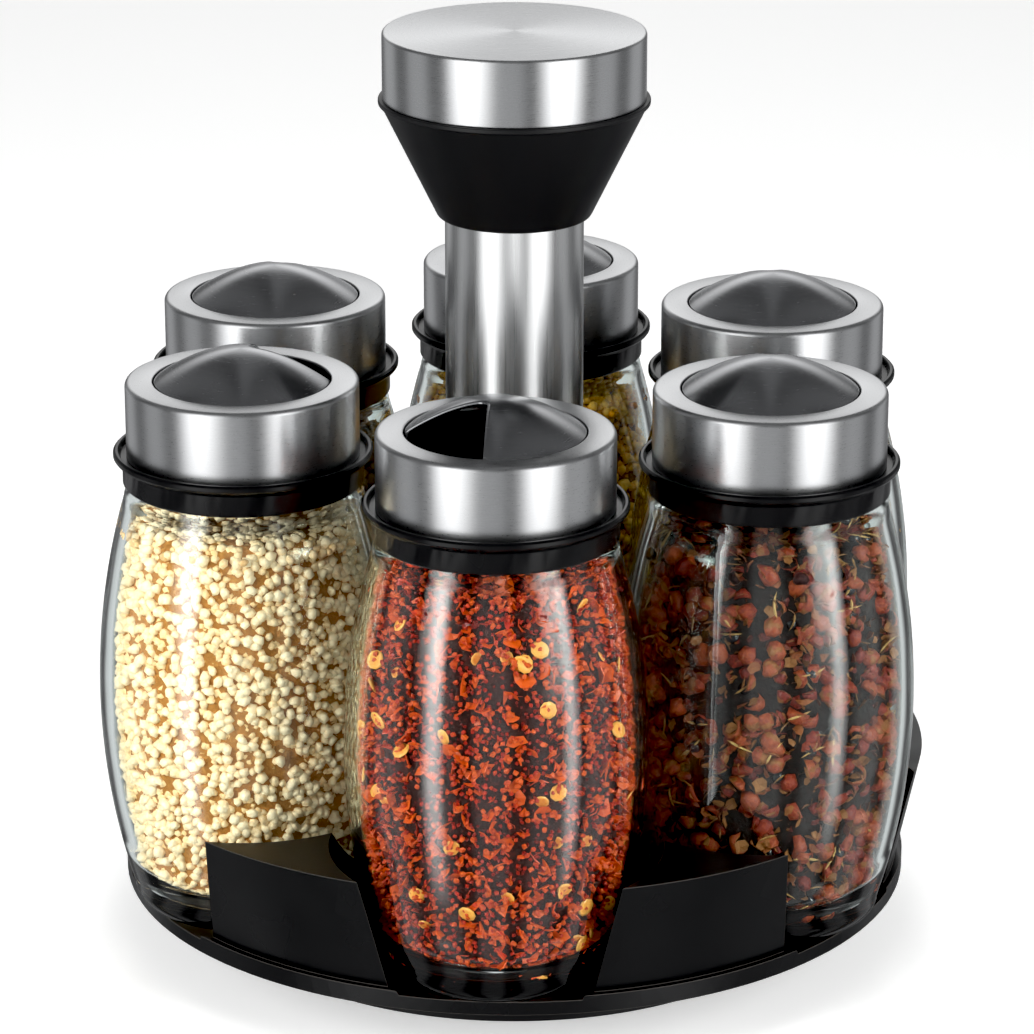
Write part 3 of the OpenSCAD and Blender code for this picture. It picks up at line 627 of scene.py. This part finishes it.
def scatter_tree():
    """Grains picked from a collection and scattered over a surface, sunk and turned at random."""
    made = bpy.data.node_groups.new("scatter_grains", "GeometryNodeTree")
    face = made.interface
    face.new_socket("Geometry", in_out="OUTPUT", socket_type="NodeSocketGeometry")
    for name, kind in (("Surface", "NodeSocketGeometry"), ("Kinds", "NodeSocketCollection"),
                       ("Grains per square metre", "NodeSocketFloat"), ("Smallest", "NodeSocketFloat"),
                       ("Largest", "NodeSocketFloat"), ("Sunk", "NodeSocketFloat"),
                       ("Tumble", "NodeSocketFloat"), ("Seed", "NodeSocketInt"),
                       ("Material", "NodeSocketMaterial")):
        face.new_socket(name, in_out="INPUT", socket_type=kind)
    given = add(made, "NodeGroupInput").outputs
    points = add(made, "GeometryNodeDistributePointsOnFaces",
                 {"Mesh": given["Surface"], "Density": given["Grains per square metre"],
                  "Seed": given["Seed"]})
    depth = add(made, "FunctionNodeRandomValue", {2: given["Sunk"], 3: 0.0, "Seed": given["Seed"]},
                data_type="FLOAT")
    inward = add(made, "ShaderNodeVectorMath", {0: points.outputs["Normal"], "Scale": depth.outputs[1]},
                 operation="SCALE")
    sunk = add(made, "GeometryNodeSetPosition", {"Geometry": points.outputs["Points"],
                                                 "Offset": inward.outputs[0]})
    least = add(made, "ShaderNodeMath", {0: given["Tumble"], 1: -1.0}, operation="MULTIPLY")
    span_low = add(made, "ShaderNodeCombineXYZ", {0: least.outputs[0], 1: least.outputs[0], 2: -math.pi})
    span_high = add(made, "ShaderNodeCombineXYZ", {0: given["Tumble"], 1: given["Tumble"], 2: math.pi})
    angles = add(made, "FunctionNodeRandomValue", {0: span_low.outputs[0], 1: span_high.outputs[0],
                                                   "Seed": given["Seed"]}, data_type="FLOAT_VECTOR")
    tumble = add(made, "FunctionNodeEulerToRotation", {0: angles.outputs[0]})
    turned = add(made, "FunctionNodeRotateRotation", {0: points.outputs["Rotation"],
                                                      1: tumble.outputs[0]}, rotation_space="LOCAL")
    kinds = add(made, "GeometryNodeCollectionInfo", {"Collection": given["Kinds"], "Separate Children": True,
                                                     "Reset Children": True})
    size = add(made, "FunctionNodeRandomValue", {2: given["Smallest"], 3: given["Largest"],
                                                 "Seed": given["Seed"]}, data_type="FLOAT")
    which = add(made, "FunctionNodeRandomValue", {4: 0, 5: 99, "Seed": given["Seed"]}, data_type="INT")
    grains = add(made, "GeometryNodeInstanceOnPoints",
                 {"Points": sunk.outputs["Geometry"], "Instance": kinds.outputs[0], "Pick Instance": True,
                  "Instance Index": which.outputs[2], "Rotation": turned.outputs[0],
                  "Scale": size.outputs[1]})
    tone = add(made, "FunctionNodeRandomValue", {2: 0.0, 3: 1.0, "Seed": given["Seed"]}, data_type="FLOAT")
    toned = add(made, "GeometryNodeStoreNamedAttribute",
                {"Geometry": grains.outputs["Instances"], "Name": "tone", "Value": tone.outputs[1]},
                data_type="FLOAT", domain="INSTANCE")
    real = add(made, "GeometryNodeRealizeInstances", {"Geometry": toned.outputs["Geometry"]})
    dressed = add(made, "GeometryNodeSetMaterial", {"Geometry": real.outputs["Geometry"],
                                                    "Material": given["Material"]})
    add(made, "NodeGroupOutput", {0: dressed.outputs["Geometry"]})
    return made


scatter = scatter_tree()
shapes = random.Random(7)


def grain_mesh(name, rings, sides, form, crisp=False):
    """A closed grain: rings of points from pole to pole, placed by form(latitude, turn),
    which gives each point and how much of the inner colour it shows."""
    shape = bmesh.new()
    pale = shape.verts.layers.float.new("pale")
    levels = []
    for i in range(rings + 1):
        latitude = math.pi * i / rings - math.pi / 2
        count = 1 if i in (0, rings) else sides
        level = []
        for k in range(count):
            point, paleness = form(latitude, 2 * math.pi * k / count)
            level.append(shape.verts.new(point))
            level[-1][pale] = paleness
        levels.append(level)
    for lower, upper in zip(levels, levels[1:]):
        for k in range(sides):
            ring = [lower[k % len(lower)], lower[(k + 1) % len(lower)],
                    upper[(k + 1) % len(upper)], upper[k % len(upper)]]
            shape.faces.new(list(dict.fromkeys(ring)))
    bmesh.ops.recalc_face_normals(shape, faces=shape.faces)
    mesh = bpy.data.meshes.new(name)
    shape.to_mesh(mesh)
    shape.free()
    if crisp:
        mesh.shade_flat()
    else:
        mesh.shade_smooth()
    return mesh


def crumb_maker():
    """A blunt, angular granule, about 1 mm in radius."""
    wide, thick, lean = shapes.uniform(0.75, 1.05), shapes.uniform(0.7, 0.95), shapes.uniform(-0.3, 0.3)

    def form(latitude, turn):
        rough = 1 + shapes.uniform(-0.22, 0.22)
        x, y, z = math.cos(latitude) * math.cos(turn), math.cos(latitude) * math.sin(turn), math.sin(latitude)
        return Vector((x + lean * z, y * wide, z * thick)) * rough * MM, 0.0
    return form


def chilli_seed(latitude, turn):
    """A flat round chilli seed, 3.4 mm across, with a thick pale rim."""
    rim = math.cos(latitude) ** 6
    return Vector((math.cos(latitude) * math.cos(turn) * 1.7, math.cos(latitude) * math.sin(turn) * 1.5,
                   math.sin(latitude) * 0.28 + 0.1 * rim)) * MM, rim


def ball(latitude, turn):
    """A shiny round seed, 3.2 mm across."""
    return Vector((math.cos(latitude) * math.cos(turn), math.cos(latitude) * math.sin(turn),
                   math.sin(latitude))) * 1.6 * MM, 0.0


def long_seed(latitude, turn):
    """A ribbed, boat-shaped seed, 5 mm long."""
    rib = 1 + 0.12 * math.cos(turn * 3)
    return Vector((math.sin(latitude) * 2.5, math.cos(latitude) * math.cos(turn) * 0.75 * rib,
                   math.cos(latitude) * math.sin(turn) * 0.75 * rib
                   + 0.18 * math.sin(latitude) ** 2)) * MM, max(math.cos(turn * 3), 0) * 0.6


def flake_maker():
    """A torn, curled piece of dried chilli skin, about 4 mm across, paler inside."""
    stretch, curl, twist = shapes.uniform(0.45, 1.0), shapes.uniform(-0.3, 0.35), shapes.uniform(-0.25, 0.25)
    edge = [shapes.uniform(0.6, 1.25) for _ in range(8)]

    def form(latitude, turn):
        reach = math.cos(latitude) * 1.9 * edge[int(round(turn / (2 * math.pi) * 8)) % 8]
        x, y = reach * math.cos(turn), reach * math.sin(turn) * stretch
        z = math.sin(latitude) * 0.14 + curl * x * x + twist * x * y + shapes.uniform(-0.07, 0.07)
        return Vector((x, y, z)) * MM, 0.7 if latitude > 0.1 else 0.0
    return form


def husk_maker():
    """A split, hollow pepper husk, about 4.4 mm across, pimpled outside and pale inside."""
    gape = shapes.uniform(0.15, 0.8)

    def form(latitude, turn):
        if latitude > gape:
            deep = (latitude - gape) / (math.pi / 2 - gape)
            rim = math.cos(gape) * (1 - 0.2 * deep)
            reach, height = rim * (1 - deep) ** 0.5, math.sin(gape) - 1.3 * deep ** 0.6
            return Vector((reach * math.cos(turn), reach * math.sin(turn), height)) * 2.2 * MM, 0.85
        squeeze = 1 - 0.18 * math.cos(2 * turn)
        pimple = 1 + shapes.uniform(-0.13, 0.13)
        return Vector((math.cos(latitude) * math.cos(turn) * squeeze, math.cos(latitude) * math.sin(turn),
                       math.sin(latitude))) * 2.2 * pimple * MM, 0.0
    return form


def stalk_maker():
    """A short bent stalk, 7 mm long and half a millimetre thick."""
    bend = shapes.uniform(-0.9, 0.9)

    def form(latitude, turn):
        along = latitude / (math.pi / 2)
        thick = 0.26 * (1.2 - 0.4 * along) * (0.0 if abs(along) > 0.999 else 1.0)
        return Vector((along * 3.5, bend * (along * along - 0.3) + thick * math.cos(turn),
                       thick * math.sin(turn))) * MM, 0.0
    return form


def kinds(name, meshes):
    """A collection that holds the shapes one scatter picks from."""
    made = bpy.data.collections.new(name)
    bpy.context.scene.collection.children.link(made)
    for mesh in meshes:
        made.objects.link(bpy.data.objects.new(mesh.name, mesh))
    return made


KINDS = {
    "crumbs": kinds("crumb_kinds", [grain_mesh(f"crumb_{k}", 3, 5, crumb_maker()) for k in range(12)]),
    "bits": kinds("bit_kinds", [grain_mesh(f"bit_{k}", 3, 4, crumb_maker(), True) for k in range(8)]),
    "flakes": kinds("flake_kinds", [grain_mesh(f"flake_{k}", 3, 8, flake_maker(), True) for k in range(14)]),
    "chilli_seeds": kinds("chilli_seed_kinds", [grain_mesh("chilli_seed", 5, 9, chilli_seed)]),
    "husks": kinds("husk_kinds", [grain_mesh(f"husk_{k}", 5, 8, husk_maker()) for k in range(9)]),
    "black_seeds": kinds("black_seed_kinds", [grain_mesh("black_seed", 6, 8, ball)]),
    "stalks": kinds("stalk_kinds", [grain_mesh(f"stalk_{k}", 5, 4, stalk_maker()) for k in range(4)]),
    "long_seeds": kinds("long_seed_kinds", [grain_mesh("long_seed", 5, 6, long_seed)]),
}


heap_drop = 1.2
crown_h, crown_round = 2.5, 3.0


def spice_surface(number, inset, name, material):
    """The heap inside jar number, standing in from the glass by inset millimetres."""
    top = heights(f"spice_fill_{number}")[1] - jar_centre(number)[2] / MM - heap_drop - inset
    bottom = glass_floor + inset
    wall = [(max(room_radius(h) - inset, 0.5), h) for h in span(bottom + 0.3, top - crown_h, 40)]
    crown = outline(wall[-1], (wall[-1][0], top - 0.2, crown_round), (0, top), steps=6)[1:]
    return lathe(name, [(0, bottom)] + wall + crown, material, jar_centre(number), segments=96, sharp=80)


def scattered(number, name, kind, per_cm2, sizes, sunk, inset, material, tumble):
    """One kind of grain over the heap of a jar, as a plain mesh that rides on the jar."""
    carrier = spice_surface(number, inset, name + "_carrier", material)
    made = carrier.modifiers.new("scatter", "NODES")
    made.node_group = scatter
    given = {"Kinds": KINDS[kind], "Grains per square metre": per_cm2 * 1e4, "Smallest": sizes[0],
             "Largest": sizes[1], "Sunk": -sunk * MM, "Tumble": tumble, "Seed": 1 + number * 17,
             "Material": material}
    for item in scatter.interface.items_tree:
        if item.in_out == "INPUT" and item.name in given:
            made[item.identifier] = given[item.name]
    bpy.context.view_layer.update()
    mesh = bpy.data.meshes.new_from_object(carrier.evaluated_get(bpy.context.evaluated_depsgraph_get()))
    bpy.data.objects.remove(carrier)
    piece = link_piece(mesh, name, material)
    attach(piece, f"jar_{number}")
    return piece


# Each jar's spice: its name, the core's colours, darker than its grains as painted shade in the
# gaps between them, and how far the core stands in, and its layers of grains: kind, grains per
# square centimetre, sizes, depth sunk, inset in mm, colours, roughness, tumble, and the colour of the inner
# side.
SPICES = {
    1: ("chilli_flakes", ("#200401", "#5c1003", "#8c2106"), 0.5, (
        ("flakes", 38, (0.5, 1.22), 1.8, 1.6, ("#2a0300", "#700901", "#9b1202", "#b82703", "#cf510a"),
         0.36, 1.3, "#bb4a0a"),
        ("bits", 84, (0.28, 0.68), 1.3, 0.8, ("#340401", "#700c01", "#9c1d03", "#ba4a0c"), 0.5, 3.1, None),
        ("chilli_seeds", 0.8, (0.75, 1.15), 1.0, 0.9, ("#b3580f", "#cf7d20", "#dc9a40"),
         0.33, 0.6, "#e6ac55"))),
    2: ("sichuan_pepper", ("#090201", "#2c0a05", "#4a190c"), 1.1, (
        ("husks", 23, (0.6, 1.0), 2.8, 2.2, ("#0e0201", "#2a0503", "#4c0d06", "#68190a", "#803814"),
         0.5, 3.1, "#74491c"),
        ("flakes", 34, (0.35, 0.85), 2.4, 1.3, ("#120402", "#300b05", "#521b0b", "#74421e"),
         0.6, 3.1, "#7a5226"),
        ("black_seeds", 0.8, (0.75, 1.0), 1.6, 2.0, ("#08080b", "#17151c"), 0.22, 0.1, None),
        ("stalks", 1.2, (0.4, 0.8), 1.0, 0.9, ("#5c3c1c", "#8a6838", "#ab8d54"), 0.55, 0.5, None))),
    3: ("cumin_brown", ("#140b04", "#3c2810", "#543a1a"), 0.8, (
        ("long_seeds", 27, (0.8, 1.15), 1.8, 1.2, ("#47300f", "#65461e", "#856232"), 0.55, 0.5, "#967a4a"),)),
    4: ("golden_granules", ("#704006", "#b8740e", "#dc9a22"), 0.7, (
        ("crumbs", 60, (0.85, 1.3), 1.6, 1.3, ("#b86606", "#ea960e", "#fcb82a", "#ffd062"),
         0.45, 3.1, None),)),
    5: ("brown_granules", ("#241407", "#4c3216", "#6a4a24"), 0.7, (
        ("crumbs", 60, (0.8, 1.25), 1.5, 1.3, ("#4a3016", "#72502a", "#977145"), 0.5, 3.1, None),)),
    6: ("cream_granules", ("#a0692a", "#cc9650", "#e0b678"), 0.5, (
        ("crumbs", 62, (0.98, 1.34), 1.5, 1.35, ("#d8aa6a", "#efca92", "#f5d8aa", "#f9e5c0"),
         0.45, 3.1, None),)),
}
core_depth = 1.2
for number, (spice, core_shade_colours, core_inset, layers) in SPICES.items():
    # The core is coloured darker than its grains: painted shade in the gaps between them.
    core = spice_surface(number, core_inset + core_depth, f"{spice}_heap",
                         dry_spice(f"{spice}_core", core_shade_colours, 0.8, speck_mm=1.1, relief_mm=0.8))
    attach(core, f"jar_{number}")
    for kind, per_cm2, sizes, sunk, inset, colours, roughness, tumble, inside in layers:
        relief = 0.35 if kind == "husks" else 0.12
        finish = dry_spice(f"{spice}_{kind}", colours, roughness, inside, relief_mm=relief)
        grains = scattered(number, f"{spice}_{kind}", kind, per_cm2, sizes, sunk, inset, finish, tumble)
        if kind == layers[0][0]:
            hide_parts(f"spice_fill_{number}")
for made in KINDS.values():
    for shape in list(made.objects):
        bpy.data.objects.remove(shape)
    bpy.data.collections.remove(made)

# ---- Lid collars ----
# Black polypropylene, moulded in one: a threaded skirt, a flange with an
# upturned lip that the steel sits in, and the sifter plate under the dial.
collar_pp = moulded_plastic("collar_pp_satin", "#0c0c0d", 0.22)
foam = moulded_plastic("seal_foam_liner", "#d6d6cf", 0.8, grain_mm=0.5)
for number in JARS:
    collar = finished_copy(f"lid_collar_{number}", f"collar_{number}", collar_pp, 0.12)
    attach(collar, f"lid_{number}")
    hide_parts(f"lid_collar_{number}")
    dress(f"seal_ring_{number}", foam)

# ---- Steel lids ----
# A drawn cup of stainless sheet with a hole for the dial. The band is brushed
# round, and the flat top is brushed too, so that it looks evenly grey.
lid_r = half_width("steel_lid_1")
lid_sheet = 0.6
dial_hole_r = 16.8
lid_steel = brushed_steel("lid_steel_brushed", "#d9dadb", 0.31, 0.6, streak_mm=(2.5, 0.16), shade=0.07)
for number in JARS:
    centre = jar_centre(number)
    band_low, lid_top = (z - centre[2] / MM for z in heights(f"steel_lid_{number}"))
    lid = lathe(f"lid_shell_{number}", outline(
        (lid_r - lid_sheet, band_low), (lid_r, band_low, 0.2), (lid_r, lid_top, 0.9),
        (dial_hole_r, lid_top, 0.25), (dial_hole_r, lid_top - lid_sheet, 0.1),
        (lid_r - lid_sheet, lid_top - lid_sheet, 0.4)), lid_steel, centre, closed=True)
    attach(lid, f"lid_{number}")
    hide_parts(f"steel_lid_{number}")

# ---- Pour dials ----
# A low dome pressed from stainless sheet, brushed in circles. A sector with a
# rounded inner corner is cut out for pouring, and a flange under the lid keeps the
# dial in. Each dial is left turned its own way.
dial_r, dial_rise, dial_sheet = 16.5, 6.2, 0.7
dome_power, dome_drop, rim_depth = 0.92, 0.2, 1.9
flange_out, flange_low, flange_high = 2.2, 2.75, 2.1
stem_r, stem_depth, stem_rise = 1.6, 4.7, 5.2
pour_half = math.radians(45)
pour_inner_r, pour_corner_r = 2.6, 2.0
DIAL_TURN = {1: 225, 2: 90, 3: 100, 4: 120, 5: 80, 6: 42}
dial_steel = brushed_steel("dial_steel_brushed", "#b4b5b7", 0.24, 0.7, streak_mm=(10, 0.16), shade=0.06)


def dome_height(radius):
    """The dome's height above the lid's top, in mm."""
    return dial_rise * max(math.cos(math.pi / 2 * min(radius / dial_r, 1)), 0) ** dome_power - dome_drop


def pour_edge(count):
    """The opening's outline, from the rim in along one side, round the corner and out again."""
    corner_x = pour_inner_r + pour_corner_r
    apex = corner_x - pour_corner_r / math.sin(pour_half)
    touch = Vector((corner_x - pour_corner_r * math.sin(pour_half), pour_corner_r * math.cos(pour_half)))
    along = Vector((math.cos(pour_half), math.sin(pour_half)))
    reach = -apex * along.x + math.sqrt(dial_r ** 2 - (apex * along.y) ** 2)
    rim = Vector((apex, 0)) + along * reach
    side = [rim.lerp(touch, k / count) for k in range(count)]
    arc = [Vector((corner_x + pour_corner_r * math.cos(a), pour_corner_r * math.sin(a)))
           for a in span(math.pi / 2 + pour_half, math.pi * 1.5 - pour_half, count)]
    return side + arc + [Vector((p.x, -p.y)) for p in reversed(side)]


def dial_mesh(name, centre, top, turn):
    """The dome outside the opening, as strips from the opening's edge across to the rim."""
    shape = bmesh.new()
    place = shape.verts.layers.float_vector.new("turned")
    around = shape.loops.layers.uv.new("around")
    edge = pour_edge(16)
    start = math.atan2(edge[0].y, edge[0].x)
    strips = 26
    rows = []
    for k, inner in enumerate(edge):
        share = k / (len(edge) - 1)
        angle = start + (2 * math.pi - 2 * start) * share
        outer = Vector((math.cos(angle), math.sin(angle))) * dial_r
        row = []
        for s in range(strips + 1):
            flat = inner.lerp(outer, s / strips)
            radius = flat.length
            x = flat.x * math.cos(turn) - flat.y * math.sin(turn)
            y = flat.x * math.sin(turn) + flat.y * math.cos(turn)
            vert = shape.verts.new((centre[0] + x * MM, centre[1] + y * MM,
                                    centre[2] + (top + dome_height(radius)) * MM))
            vert[place] = (x * MM, y * MM, radius * MM)
            row.append(vert)
            if s == strips:
                wall = shape.verts.new((centre[0] + x * MM, centre[1] + y * MM,
                                        centre[2] + (top - rim_depth) * MM))
                wall[place] = (x * MM, y * MM, (radius + rim_depth) * MM)
                row.append(wall)
        rows.append(row)
    for this, after in zip(rows, rows[1:]):
        for a, b, c, d in zip(this, this[1:], after[1:], after):
            face = shape.faces.new((a, b, c, d))
            for loop in face.loops:
                x, y, length = loop.vert[place]
                loop[around].uv = (math.atan2(y, x) / (2 * math.pi), length)
            turns = [loop[around].uv.x for loop in face.loops]
            if max(turns) - min(turns) > 0.5:
                for loop in face.loops:
                    if loop[around].uv.x < 0:
                        loop[around].uv.x += 1
    bmesh.ops.remove_doubles(shape, verts=shape.verts, dist=0.001 * MM)
    bmesh.ops.recalc_face_normals(shape, faces=shape.faces)
    if sum(face.normal.z for face in shape.faces) < 0:
        bmesh.ops.reverse_faces(shape, faces=shape.faces)
    mesh = bpy.data.meshes.new(name)
    shape.to_mesh(mesh)
    shape.free()
    mesh.shade_smooth()
    mesh.set_sharp_from_angle(angle=math.radians(40))
    return mesh


for number in JARS:
    centre = jar_centre(number)
    top = heights(f"steel_lid_{number}")[1] - centre[2] / MM
    turn = math.radians(DIAL_TURN[number])
    dial = link_piece(dial_mesh(f"dial_{number}", centre, top, turn), f"dial_dome_{number}", dial_steel)
    sheet = dial.modifiers.new("sheet", "SOLIDIFY")
    sheet.thickness = dial_sheet * MM
    sheet.offset = -1
    sheet.use_even_offset = True
    flange = lathe(f"dial_flange_{number}", outline(
        (dial_r - dial_sheet, top - flange_low), (dial_r + flange_out, top - flange_low),
        (dial_r + flange_out, top - flange_high, 0.2), (dial_r - dial_sheet, top - flange_high)),
        dial_steel, centre, closed=True)
    stem = lathe(f"dial_stem_{number}", outline(
        (0, top - stem_depth), (stem_r, top - stem_depth, 0.2), (stem_r, top + stem_rise),
        (0, top + stem_rise)), dial_steel, centre, segments=48)
    for part in (dial, flange, stem):
        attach(part, f"dial_{number}")
    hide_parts(f"pour_dial_{number}")

# ---- What shows the panels ----
# The steel and plastic show wide white panels, the column one more, and the
# glass only two narrow strips, so that the spices keep their deep colours.
for piece in bpy.data.objects:
    if piece.type == "MESH":
        shown_in["glass" if piece.name.startswith("jar_glass_") else "steel"].objects.link(piece)
shown_in["column"].objects.link(column)
